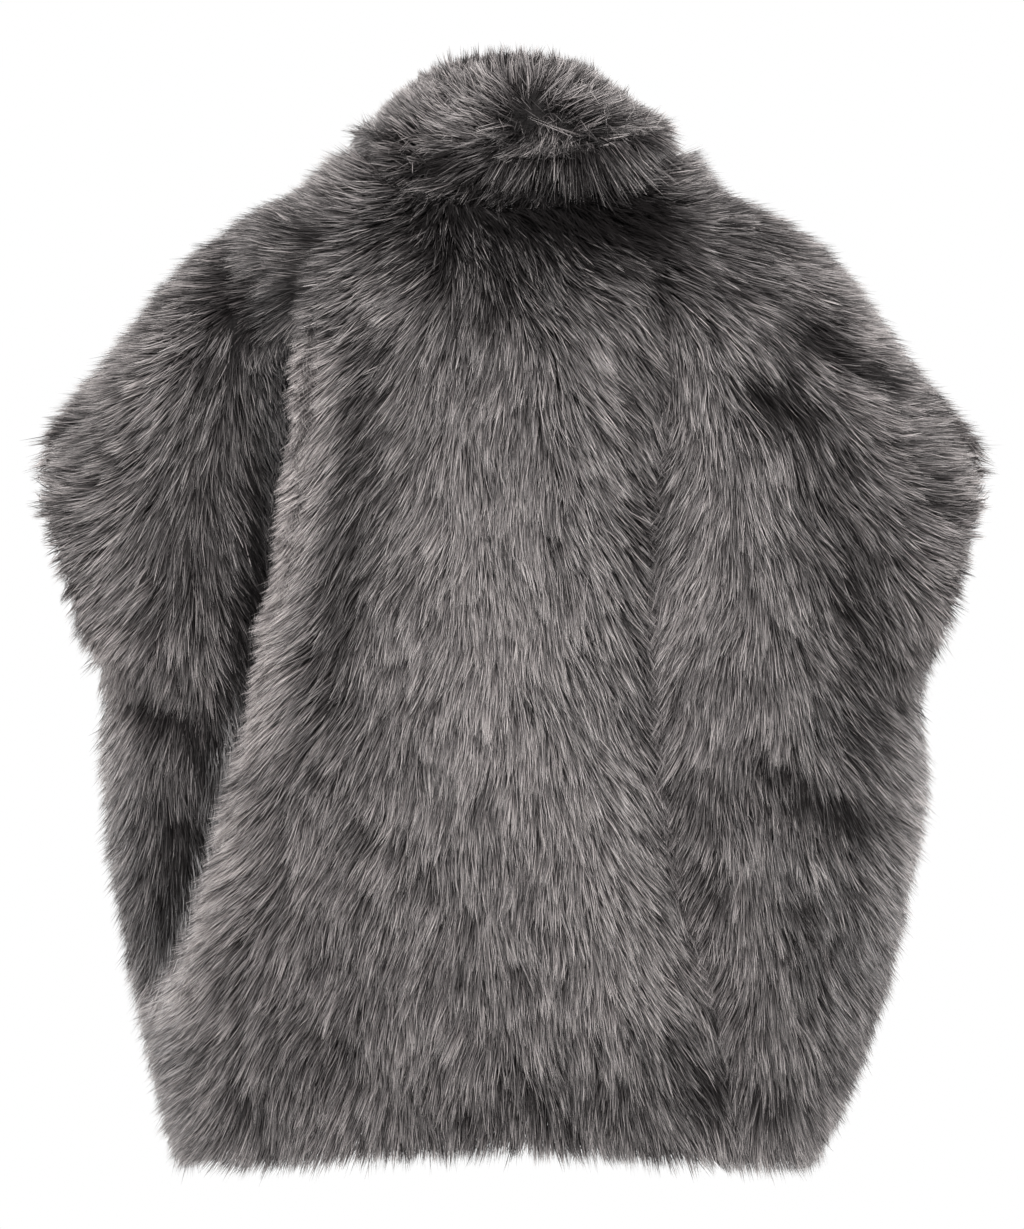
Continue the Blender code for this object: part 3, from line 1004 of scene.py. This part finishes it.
@dataclass(frozen=True)
class Pile:
    """Locks of tapered strands, rooted in a backing and lying along the comb."""

    strand_width: float = 0.00080
    width_range: tuple = (0.5, 1.25)
    lock_spacing: float = 0.0036
    tuft_spacing: float = 0.013
    length: float = 0.044
    stray: float = 0.10
    lock_stray: float = 0.11
    tuft_stray: float = 0.15
    lock_pull: float = 0.58
    pull_spread: float = 0.20
    pull_range: tuple = (0.05, 0.95)
    tuft_pull: float = 0.20
    wave: float = 0.0020
    rise_curve: float = 1.1
    straight_share: float = 0.35
    run_curve: float = 1.5
    most_roll: float = 1.0
    most_out: float = 0.014
    out_power: float = 1.5
    plain_tone: float = 0.5
    tone_range: tuple = (0.01, 0.99)
    tone_spread: float = 0.004
    tuft_tone: float = 0.08
    lock_tone: float = 0.19
    strand_tone: float = 0.30
    normal_blend: float = 0.45
    loose: float = 0.0
    root_start: float = 0.01
    tip_end: float = 0.99
    seed: int = 11
    steps: tuple = (0.0, 0.5, 1.0)

    def lines(self, growth: Growth, stray: float, rng: np.random.Generator) -> np.ndarray:
        """The middle lines of strands before they gather into locks.

        Args:
            growth: where and which way they grow.
            stray: how far they turn from the comb, in radians.
            rng: the source of chance.

        Returns:
            Three points for each strand.
        """
        count = len(growth.roots)
        side = np.cross(growth.normals, growth.ways)
        turn = rng.normal(0.0, stray, count)[:, None]
        if self.loose:
            any_way = rng.uniform(-math.pi, math.pi, count)[:, None]
            turn = np.where(rng.random(count)[:, None] < self.loose, any_way, turn)
        way = growth.ways * np.cos(turn) + side * np.sin(turn)
        bend = rng.normal(0.0, self.wave, count)[:, None]
        line = np.zeros((count, len(self.steps), 3))
        for k, s in enumerate(self.steps):
            rise = growth.heights * (1 - (1 - s) ** self.rise_curve)
            curved = (1 - self.straight_share) * s**self.run_curve
            run = growth.lengths * (self.straight_share * s + curved)
            sway = bend * math.sin(math.pi * s)
            line[:, k] = growth.roots + growth.normals * rise[:, None] + way * run[:, None] + side * sway
        return line

    def gather(
        self, line: np.ndarray, leaders: np.ndarray, pull: float, rng: np.random.Generator
    ) -> np.ndarray:
        """Draws strands together towards the leading strand of their lock.

        Args:
            line: the strands' middle lines, which it moves.
            leaders: the leading strands' middle lines.
            pull: how far they are drawn at the tip, from 0 to 1.
            rng: the source of chance.

        Returns:
            The number of each strand's lock.
        """
        tree = search_tree(leaders[:, 0])
        lock = np.array([tree.find(Vector(p))[1] for p in line[:, 0]])
        shares = np.clip(rng.normal(pull, self.pull_spread, len(line)), *self.pull_range)
        for k, s in enumerate(self.steps[1:], start=1):
            share = (shares * s)[:, None]
            line[:, k] += (leaders[lock, k] - line[:, k]) * share
        return lock

    def blades(
        self,
        line: np.ndarray,
        normals: np.ndarray,
        tone: np.ndarray,
        spans: np.ndarray,
        rng: np.random.Generator,
    ) -> tuple:
        """Points, triangles, map and normals of the strands' blades, pointed at both ends.

        Args:
            line: their middle lines.
            normals: the backing's normals at their roots.
            tone: how pale each is, from 0 to 1.
            spans: where on the way from root to tip its colours start and end.
            rng: the source of chance.

        Returns:
            Points, triangles, and a map coordinate and a normal for each point.
        """
        count = len(line)
        way = unit(line[:, -1] - line[:, 0])
        facing = along_surface(normals, way)
        roll = rng.uniform(-self.most_roll, self.most_roll, count)[:, None]
        facing = facing * np.cos(roll) + np.cross(way, facing) * np.sin(roll)
        widths = self.strand_width / 2 * rng.uniform(*self.width_range, count)
        half = np.cross(way, facing) * widths[:, None]
        shading = unit(facing * (1 - self.normal_blend) + normals * self.normal_blend)
        points = np.stack([line[:, 0], line[:, 1] - half, line[:, 1] + half, line[:, 2]], 1)
        across = np.stack([tone, tone - self.tone_spread, tone + self.tone_spread, tone], 1)
        starts, ends = spans.T
        middles = (starts + ends) / 2
        along = np.stack([starts, middles, middles, ends], 1)
        blade = np.array([[0, 2, 1], [1, 2, 3]])
        faces = (np.arange(count)[:, None, None] * 4 + blade).reshape(-1, 3)
        chart = np.stack([across, along], -1).reshape(-1, 2)
        return points.reshape(-1, 3), faces, chart, np.repeat(shading, 4, axis=0)

    def add(self, name: str, blades: tuple, material: bpy.types.Material) -> bpy.types.Object:
        """One piece of pile with its strand map.

        Args:
            name: the piece's name.
            blades: points, triangles, map and normals.
            material: its finish.

        Returns:
            The piece.
        """
        points, faces, places, normals = blades
        piece = add_mesh(name, points, faces, material)
        chart = piece.data.uv_layers.new(name=PILE_UV)
        chart.data.foreach_set("uv", places[faces.ravel()].astype(np.float32).ravel())
        piece.data.normals_split_custom_set_from_vertices(normals.astype(np.float32))
        return piece


@dataclass
class Panel:
    """A back or front: its knitted backing and the pile on it."""

    node: str
    side: Side
    strands: int
    pieces: int
    flat: tuple
    flat_area: float
    pile: Pile
    crease_deg: float = 42.0
    reach: float = 0.024
    backing_thickness: float = 0.0014
    backing_inset: float = 0.014
    ground_lift: float = 0.002
    least_ground: float = 0.003
    hem_below: float = -0.60
    hem_inset: float = 0.018
    hem_lift_reach: float = 0.09
    hem_over: float = 0.020
    armhole_beyond: float = 0.24
    armhole_reach: float = 0.10
    armhole_foot: float = -0.40
    armhole_rise: float = 0.06
    armhole_inset: float = 0.005
    armhole_over: float = 0.006
    seam_width: float = 0.003
    opening_width: float = 0.014
    edge_reach: float = 0.05
    edge_aim: float = 0.15
    edge_slant: float = 0.30
    edge_under: float = -0.005
    # Painted light: near the armhole edge and around the armhole's tip, the strands start paler, with less of
    # the root's painted shade.
    lit_edge_start: float = 0.55
    lit_edge_reach: float = 0.028
    tip: tuple = (0.335, -0.165)
    tip_reach: float = 0.024
    lit_tip_start: float = 0.68
    part_aim: float = 0.20
    part_over: tuple = (0.000, 0.008)
    crest_over: float = 0.012
    comb_step: tuple = (0.035, 0.050)
    full_facing: float = 0.35
    least_facing: float = 0.10
    most_slope: float = 1.2
    outward: float = 0.25
    length_range: tuple = (0.62, 1.12)
    side_shorter: float = 0.25
    least_length: float = 0.012
    # Strands cut short at a parting line end darker: painted shade in the parting.
    short_end: float = 0.60
    least_depth: float = 0.004
    rise_low: float = 0.48
    rise_more: float = 0.92
    rise_power: float = 1.7
    least_rise: float = 0.50
    # Where the strokes of painted light and shade are read: on strands that face the back, between the middle
    # and the tip of each.
    seen_from_side: float = 0.5
    seen_by_turn: float = 2.0
    shade_middle: float = 0.45

    def comb(self, places: np.ndarray, normals: np.ndarray) -> np.ndarray:
        """Finds which way the pile lies.

        Args:
            places: points on the skin.
            normals: the skin's normals there.

        Returns:
            Directions along the skin.
        """
        seen = np.zeros((len(places), 2))
        spots = places[:, [0, 2]]
        reach = np.array(self.comb_step)
        if self.side is Side.BACK:
            zones = self.zones(places)
            for zone in Zone:
                here = zones == zone.value
                seen[here] = combed(np.array(BACK_COMB[zone], float), spots[here], reach)
        else:
            seen = combed(np.array(FRONT_COMB, float), np.abs(spots) * (1, -1), reach)
            seen[:, 0] *= np.sign(places[:, 0])
        x, z = spots.T
        turn = sum(wave.most * np.sin(wave.across * x + wave.up * z + wave.start) for wave in TURNS)
        way = np.zeros_like(places)
        way[:, 0] = seen[:, 0] * np.cos(turn) - seen[:, 1] * np.sin(turn)
        way[:, 2] = seen[:, 0] * np.sin(turn) + seen[:, 1] * np.cos(turn)
        facing = np.abs(normals[:, 1])
        level = np.clip(facing / self.full_facing, 0, 1)
        slope = (way * normals).sum(1) / np.where(facing < self.least_facing, np.inf, normals[:, 1])
        way[:, 1] = -np.clip(slope, -self.most_slope, self.most_slope) * level
        return along_surface(way + self.outward * normals * (1, 1, 0), normals)

    @staticmethod
    def zones(places: np.ndarray) -> np.ndarray:
        """Sorts places on the back into its zones.

        Args:
            places: the places.

        Returns:
            The number of the zone that each is in.
        """
        lines = np.array(PART_LINES)[::-1]
        left = np.interp(places[:, 2], lines[:, 0], lines[:, 1])
        right = np.interp(places[:, 2], lines[:, 0], lines[:, 2])
        return (places[:, 0] > left).astype(int) + (places[:, 0] > right)

    def to_parting(self, places: np.ndarray, ways: np.ndarray) -> np.ndarray:
        """Measures the way to the parting line that a strand points at.

        Args:
            places: the strands' roots.
            ways: their directions.

        Returns:
            How long each may be before it meets the line.
        """
        lines = np.array(PART_LINES)[::-1]
        far = np.full(len(places), np.inf)
        for column in (1, 2):
            gap = np.interp(places[:, 2], lines[:, 0], lines[:, column]) - places[:, 0]
            slope = ways[:, 0] * np.sign(gap)
            met = np.abs(gap) / np.maximum(slope, self.part_aim)
            aimed = (slope > self.part_aim) & (places[:, 2] < lines[-1, 0])
            far = np.where(aimed, np.minimum(far, met), far)
        return far

    def free_edges(self, skin: Skin) -> tuple[KDTree, KDTree]:
        """Finds the edges of the skin that no seam closes.

        Args:
            skin: the panel's skin.

        Returns:
            Search trees of its hem and of its armhole.
        """
        edge = skin.points[skin.edge]
        middle = self.opening_width if self.side is Side.FRONT else self.seam_width
        free = (np.abs(edge[:, :2]) > (middle, self.seam_width)).all(1)
        low = edge[:, 2] < self.hem_below
        arm = np.abs(edge[:, 0]) > self.armhole_beyond
        return search_tree(edge[free & low]), search_tree(edge[free & arm & ~low])

    def rises(self, places: np.ndarray, depth: np.ndarray, rng: np.random.Generator) -> np.ndarray:
        """Draws how high the pile stands.

        Args:
            places: points on the skin.
            depth: how deep the roots lie under them.
            rng: the source of chance.

        Returns:
            Heights over the roots.
        """
        rise = depth * (self.rise_low + self.rise_more * rng.random(len(places)) ** self.rise_power)
        return np.maximum(rise + lifted(places), self.least_rise * depth)

    def rooted(self, skin: Skin, count: int, rng: np.random.Generator) -> Growth:
        """Chooses roots on the backing, clear of the free edges.

        Args:
            skin: the panel's skin.
            count: how many to try.
            rng: the source of chance.

        Returns:
            The growth there.
        """
        places, normals, depth = skin.scatter(count, rng)
        ways = self.comb(places, normals)
        length = self.pile.length * rng.uniform(*self.length_range, count)
        length *= 1 - self.side_shorter * (1 - np.abs(normals[:, 1])) ** 2
        ends = np.full(count, self.pile.tip_end)
        if self.side is Side.BACK:
            full = length
            crest = (self.zones(places) == Zone.MIDDLE.value) & (ways[:, 0] < 0)
            over = np.where(crest, self.crest_over, 0) + rng.uniform(*self.part_over, count)
            most = self.to_parting(places, ways) + over
            length = np.maximum(np.minimum(length, most), self.least_length)
            # Painted shade: strands cut short at a parting line end darker.
            ends *= self.short_end + (1 - self.short_end) * np.minimum(length / full, 1)
        keep = np.ones(count, bool)
        # Painted light: around the armhole's tip, the strands start paler.
        away = (np.abs(places[:, [0, 2]]) - np.abs(self.tip)) / self.tip_reach
        starts = np.maximum(self.pile.root_start, self.lit_tip_start * np.exp(-(away**2).sum(1)))
        hem, armhole = self.free_edges(skin)
        edges = ((hem, self.hem_inset, self.hem_over), (armhole, self.armhole_inset, self.armhole_over))
        for tree, inset, over in edges:
            for i, place in enumerate(places):
                near, _, far = tree.find(Vector(place))
                if far > self.edge_reach:
                    continue
                keep[i] &= far > inset
                toward = (near - Vector(place)).dot(Vector(ways[i])) / max(far, TINY)
                if toward > self.edge_aim:
                    room = far / max(self.edge_slant, toward)
                    length[i] = min(length[i], room + rng.uniform(self.edge_under, over))
                # Painted light: near the armhole edge, the strands start paler.
                if tree is armhole:
                    starts[i] = max(starts[i], self.lit_edge_start * (1 - far / self.lit_edge_reach))
        places, normals, ways, length = places[keep], normals[keep], ways[keep], length[keep]
        depth = np.maximum(depth[keep] - self.ground_lift, self.least_depth)
        rise = self.rises(places, depth, rng)
        spans = np.stack([starts, ends], 1)[keep]
        return Growth(places - normals * depth[:, None], normals, ways, rise, length, spans)

    def backing(self, skin: Skin, material: bpy.types.Material) -> bpy.types.Object:
        """The thin knitted shell under the pile.

        Args:
            skin: the panel's skin.
            material: its finish.

        Returns:
            The piece.
        """
        depth = np.maximum(skin.depths - self.ground_lift, self.least_ground)
        outer = skin.points - skin.normals * depth[:, None]
        below = np.clip((self.hem_below - outer[:, 2]) / self.hem_lift_reach, 0, 1)
        outer[:, 2] += below * self.hem_inset
        beyond = np.clip((np.abs(outer[:, 0]) - self.armhole_beyond) / self.armhole_reach, 0, 1)
        beyond *= np.clip((outer[:, 2] - self.armhole_foot) / self.armhole_rise, 0, 1)
        outer[:, 0] -= np.sign(outer[:, 0]) * beyond * self.backing_inset
        inner = outer - skin.normals * self.backing_thickness
        count = len(outer)
        sides = skin.faces[:, [[0, 1], [1, 2], [2, 0]]].reshape(-1, 2)
        known = {tuple(s) for s in sides}
        rim = np.array([s for s in sides if (s[1], s[0]) not in known])
        a, b = rim[:, 0], rim[:, 1]
        walls = np.concatenate([np.stack([b, a, a + count], 1), np.stack([b, a + count, b + count], 1)])
        faces = np.concatenate([skin.faces, skin.faces[:, ::-1] + count, walls])
        return add_mesh(f"{self.node}_backing", np.concatenate([outer, inner]), faces, material)

    @staticmethod
    def kept(line: np.ndarray, stand: np.ndarray, outline: Outline) -> np.ndarray:
        """Strands with their outer points no further out of the solids than they may stand."""
        points = [outline.keep_near(line[:, k], stand) for k in range(1, line.shape[1])]
        return np.stack([line[:, 0], *points], 1)

    def tones(
        self,
        line: np.ndarray,
        normals: np.ndarray,
        lock: np.ndarray,
        tuft: np.ndarray,
        rng: np.random.Generator,
    ) -> np.ndarray:
        """How pale each strand is: by chance and by lock, as the pile's own colour, and by the strokes of
        painted light and shade.

        Args:
            line: the strands' middle lines.
            normals: the backing's normals at their roots.
            lock: the number of each strand's lock.
            tuft: the number of each strand's tuft.
            rng: the source of chance.

        Returns:
            Tones from 0 to 1.
        """
        tone = self.pile.plain_tone + self.pile.lock_tone * rng.normal(size=lock.max() + 1)[lock]
        tone += self.pile.tuft_tone * rng.normal(size=tuft.max() + 1)[tuft]
        tone += self.pile.strand_tone * rng.normal(size=len(line))
        if self.side is Side.BACK:
            # Painted light and shade: the strokes make the strands that face the back darker or paler.
            seen = np.clip(self.seen_from_side - self.seen_by_turn * normals[:, 1], 0, 1)
            place = line[:, 1] * self.shade_middle + line[:, 2] * (1 - self.shade_middle)
            tone += seen * painted_shades_at(place[:, [0, 2]], self.zones(line[:, 0]))
        return np.clip(tone, *self.pile.tone_range)

    def build(self, outline: Outline, finishes: dict) -> list[bpy.types.Object]:
        """Makes the backing and the pile.

        Args:
            outline: the solids that the pile stays close to.
            finishes: the materials by name.

        Returns:
            The pieces.
        """
        rng = np.random.default_rng(self.pile.seed + len(self.node))
        skin = Skin.of_node(self.node, Vector((0, self.side.value, 0)), self.crease_deg, self.reach)
        ground = self.backing(skin, finishes["ground"])
        grown = self.rooted(skin, self.strands, rng)
        leading = self.rooted(skin, int(skin.area() / self.pile.lock_spacing**2), rng)
        tufts = self.rooted(skin, int(skin.area() / self.pile.tuft_spacing**2), rng)
        line = self.pile.lines(grown, self.pile.stray, rng)
        leaders = self.pile.lines(leading, self.pile.lock_stray, rng)
        tuft_lines = self.pile.lines(tufts, self.pile.tuft_stray, rng)
        tuft = self.pile.gather(leaders, tuft_lines, self.pile.tuft_pull, rng)
        stand = self.pile.most_out * rng.random(len(leaders)) ** self.pile.out_power
        stand = np.maximum(stand + lifted(leading.roots), 0.0)
        lock = self.pile.gather(line, self.kept(leaders, stand, outline), self.pile.lock_pull, rng)
        line = self.kept(line, stand[lock] + self.pile.strand_width, outline)
        tone = self.tones(line, grown.normals, lock, tuft[lock], rng)
        made = []
        for i, cut in enumerate(np.array_split(np.argsort(line[:, 0, 0]), self.pieces)):
            blades = self.pile.blades(line[cut], grown.normals[cut], tone[cut], grown.spans[cut], rng)
            made.append(self.pile.add(f"{self.node}_pile_{i + 1}", blades, finishes["pile"]))
        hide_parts(self.node)
        log.info("%s: %.3f m2, %d strands in %d locks", self.node, skin.area(), len(line), len(leaders))
        return [ground, *made]


@dataclass
class Collar(Panel):
    """The standing collar, with pile on both faces."""

    crease_deg: float = 60.0
    reach: float = 0.06
    root_depth: float = 0.018
    depth_share: float = 0.42
    backing_share: float = 0.40
    bearing_step: float = 10.0
    outer_share: float = 0.85
    comb_step: tuple = (18.0, 0.16)
    outward: float = 0.20
    inside_below: float = -0.20
    length_share: float = 0.74
    length_range: tuple = (0.55, 1.10)
    top_shorter: float = 0.7
    rise_low: float = 0.65
    rise_more: float = 0.75
    rise_power: float = 1.5

    @staticmethod
    def bearings(places: np.ndarray) -> np.ndarray:
        """Degrees round the neck from the middle back, positive towards the wearer's right."""
        return np.degrees(np.arctan2(places[:, 0], -places[:, 1]))

    def foot_and_top(self, bearing: np.ndarray) -> tuple[np.ndarray, np.ndarray]:
        """Measures the collar.

        Args:
            bearing: degrees round the neck.

        Returns:
            Heights of its seam and of its top edge there.
        """
        points = np.array([v.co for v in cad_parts[self.node].data.vertices])
        around, radius = self.bearings(points), np.hypot(points[:, 0], points[:, 1])
        stops = np.arange(-180, 180 + self.bearing_step, self.bearing_step)
        foot, top = np.zeros(len(stops)), np.zeros(len(stops))
        for i, stop in enumerate(stops):
            near = np.abs((around - stop + 180) % 360 - 180) <= self.bearing_step
            outer = near & (radius > self.outer_share * radius[near].max())
            foot[i], top[i] = points[outer, 2].min(), points[near, 2].max()
        return np.interp(bearing, stops, foot), np.interp(bearing, stops, top)

    def comb(self, places: np.ndarray, normals: np.ndarray) -> np.ndarray:
        """Finds which way the pile lies: by bearing and height, and up inside.

        Args:
            places: points on the skin.
            normals: the skin's normals there.

        Returns:
            Directions along the skin.
        """
        bearing = self.bearings(places)
        foot, top = self.foot_and_top(bearing)
        share = (places[:, 2] - foot) / (top - foot)
        spots = np.stack([bearing, share], 1)
        seen = combed(np.array(COLLAR_COMB, float), spots, np.array(self.comb_step))
        turn = np.radians(bearing)
        round_about = np.stack([np.cos(turn), np.sin(turn), np.zeros_like(turn)], 1)
        way = round_about * seen[:, :1]
        way[:, 2] += seen[:, 1]
        outward = np.stack([np.sin(turn), -np.cos(turn), np.zeros_like(turn)], 1)
        inside = ((normals * outward).sum(1) < self.inside_below)[:, None]
        way = np.where(inside, np.array([0.0, 0.0, 1.0]), way)
        return along_surface(way + self.outward * outward, normals)

    def rooted(self, skin: Skin, count: int, rng: np.random.Generator) -> Growth:
        """Chooses roots all over the collar, shallower where its wall is thin.

        Args:
            skin: the collar's skin.
            count: how many.
            rng: the source of chance.

        Returns:
            The growth there.
        """
        places, normals, depth = skin.scatter(count, rng)
        depth = np.clip(depth * self.depth_share, self.least_depth, self.root_depth)
        rise = self.rises(places, depth, rng)
        bearing = self.bearings(places)
        weights = [hair.weight(bearing, places[:, 2]) for hair in LONG_HAIR]
        longer = sum(hair.longer * weight for hair, weight in zip(LONG_HAIR, weights))
        level = np.clip(normals[:, 2], 0, 1) ** 2
        flat = 1 - level * self.top_shorter * (1 - np.maximum.reduce(weights))
        length = self.pile.length * (self.length_share + longer) * flat
        length *= rng.uniform(*self.length_range, count)
        spans = np.tile([self.pile.root_start, self.pile.tip_end], (count, 1))
        ways = self.comb(places, normals)
        return Growth(places - normals * depth[:, None], normals, ways, rise, length, spans)

    def backing(self, skin: Skin, material: bpy.types.Material) -> bpy.types.Object:
        """The collar's folded ground, a closed band inside the pile.

        Args:
            skin: the collar's skin.
            material: its finish.

        Returns:
            The piece.
        """
        shape = bmesh.new()
        shape.from_mesh(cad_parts[self.node].data)
        bmesh.ops.remove_doubles(shape, verts=shape.verts, dist=MERGE_DISTANCE)
        shape.normal_update()
        points = np.array([v.co for v in shape.verts])
        normals = np.array([v.normal for v in shape.verts])
        faces = np.array([[v.index for v in f.verts] for f in shape.faces])
        shape.free()
        depth = np.minimum(skin.depth(points, normals, self.reach) * self.backing_share, self.root_depth)
        return add_mesh(f"{self.node}_backing", points - normals * depth[:, None], faces, material)


class SoftBox(NamedTuple):
    """An area light: where it stands, its width and its power in watts."""

    name: str
    place: tuple
    size: float
    watts: float


SOFT_BOXES = (
    SoftBox("key_box", (0.5, -2.6, 1.9), 1.0, 134.0),
    SoftBox("left_rim", (-2.4, 0.9, 0.3), 1.4, 74.0),
    SoftBox("right_rim", (2.4, 0.9, 0.3), 1.4, 72.0),
)


@dataclass(frozen=True)
class Studio:
    """A white studio: floor, sky, soft boxes and the camera behind the garment."""

    distance: float = 3.5
    middle_z: float = -0.2916
    metres_per_pixel: float = 0.00073
    image_height: int = 1229
    sensor_mm: float = 36.0
    far_clip: float = 50.0
    floor_z: float = -0.87
    floor_radius: float = 0.95
    floor_depth: float = 0.02
    floor_sides: int = 96
    floor_colour: tuple = (0.85, 0.85, 0.85, 1.0)
    floor_roughness: float = 0.8
    white: tuple = (1.0, 1.0, 1.0, 1.0)
    ambient: float = 0.21
    backdrop: float = 1.0

    def camera(self) -> None:
        """Level with the middle of the garment, square to its back."""
        data = bpy.data.cameras.new("camera")
        data.sensor_width = self.sensor_mm
        data.lens = self.sensor_mm * self.distance / (self.metres_per_pixel * self.image_height)
        data.clip_end = self.far_clip
        camera = bpy.data.objects.new("camera", data)
        camera.location = (0.0, -self.distance, self.middle_z)
        camera.rotation_euler = (math.radians(90), 0.0, 0.0)
        bpy.context.scene.collection.objects.link(camera)
        bpy.context.scene.camera = camera

    def soft_box(self, box: SoftBox) -> None:
        """Adds an area light that points at the middle of the garment.

        Args:
            box: the light.
        """
        data = bpy.data.lights.new(box.name, "AREA")
        data.shape = "SQUARE"
        data.size = box.size
        data.energy = box.watts
        light = bpy.data.objects.new(box.name, data)
        light.location = box.place
        aim = Vector((0.0, 0.0, self.middle_z)) - Vector(box.place)
        light.rotation_euler = aim.to_track_quat("-Z", "Y").to_euler()
        bpy.context.scene.collection.objects.link(light)

    def floor(self) -> None:
        """A pale round floor under the hem."""
        bpy.ops.object.select_all(action="DESELECT")
        bpy.ops.mesh.primitive_cylinder_add(
            vertices=self.floor_sides,
            radius=self.floor_radius,
            depth=self.floor_depth,
            location=(0, 0, self.floor_z - self.floor_depth / 2),
        )
        floor = bpy.context.object
        floor.name = "floor"
        finish = {"Base Color": self.floor_colour, "Roughness": self.floor_roughness}
        floor.data.materials.append(ShaderTree("pale_floor").finish(finish))

    def sky(self) -> None:
        """White behind the garment, and an even light of less strength on it."""
        world = bpy.data.worlds.new("white_studio")
        world.use_nodes = True
        nodes, links = world.node_tree.nodes, world.node_tree.links
        nodes.clear()
        mix = nodes.new("ShaderNodeMixShader")
        for slot, strength in enumerate((self.ambient, self.backdrop), start=1):
            shade = nodes.new("ShaderNodeBackground")
            shade.inputs["Strength"].default_value = strength
            shade.inputs["Color"].default_value = self.white
            links.new(shade.outputs[0], mix.inputs[slot])
        path = nodes.new("ShaderNodeLightPath")
        out = nodes.new("ShaderNodeOutputWorld")
        links.new(path.outputs["Is Camera Ray"], mix.inputs[0])
        links.new(mix.outputs[0], out.inputs[0])
        bpy.context.scene.world = world

    def build(self) -> None:
        """Sets the studio up."""
        bpy.context.scene.view_settings.view_transform = "Standard"
        self.camera()
        self.floor()
        self.sky()
        for box in SOFT_BOXES:
            self.soft_box(box)


def main() -> None:
    """Builds the studio and the four dressed pieces."""
    logging.basicConfig(level=logging.INFO, format="%(message)s")
    Studio().build()
    outline = Outline.of_nodes()
    finishes = {"pile": PileFinish().material(), "ground": BackingFinish().material()}
    pile = Pile()
    collar_pile = Pile(
        lock_spacing=0.0048,
        stray=0.26,
        lock_pull=0.66,
        tuft_pull=0.3,
        lock_stray=0.24,
        tuft_stray=0.2,
        most_out=0.013,
        out_power=2.2,
        loose=0.09,
    )
    front = {"strands": 59000, "pieces": 1, "flat": (0.40, 0.76), "flat_area": 0.24, "pile": pile}
    panels = (
        Panel("back", Side.BACK, strands=296000, pieces=3, flat=(0.80, 0.78), flat_area=0.50, pile=pile),
        Panel("front_left", Side.FRONT, **front),
        Panel("front_right", Side.FRONT, **front),
        Collar(
            "collar", Side.BACK, strands=68000, pieces=1, flat=(0.56, 0.10), flat_area=0.052, pile=collar_pile
        ),
    )
    for panel in panels:
        for piece in panel.build(outline, finishes):
            log.info("piece %s: %d triangles", piece.name, len(piece.data.polygons))
    bpy.context.view_layer.update()


if __name__ == "__main__":
    main()
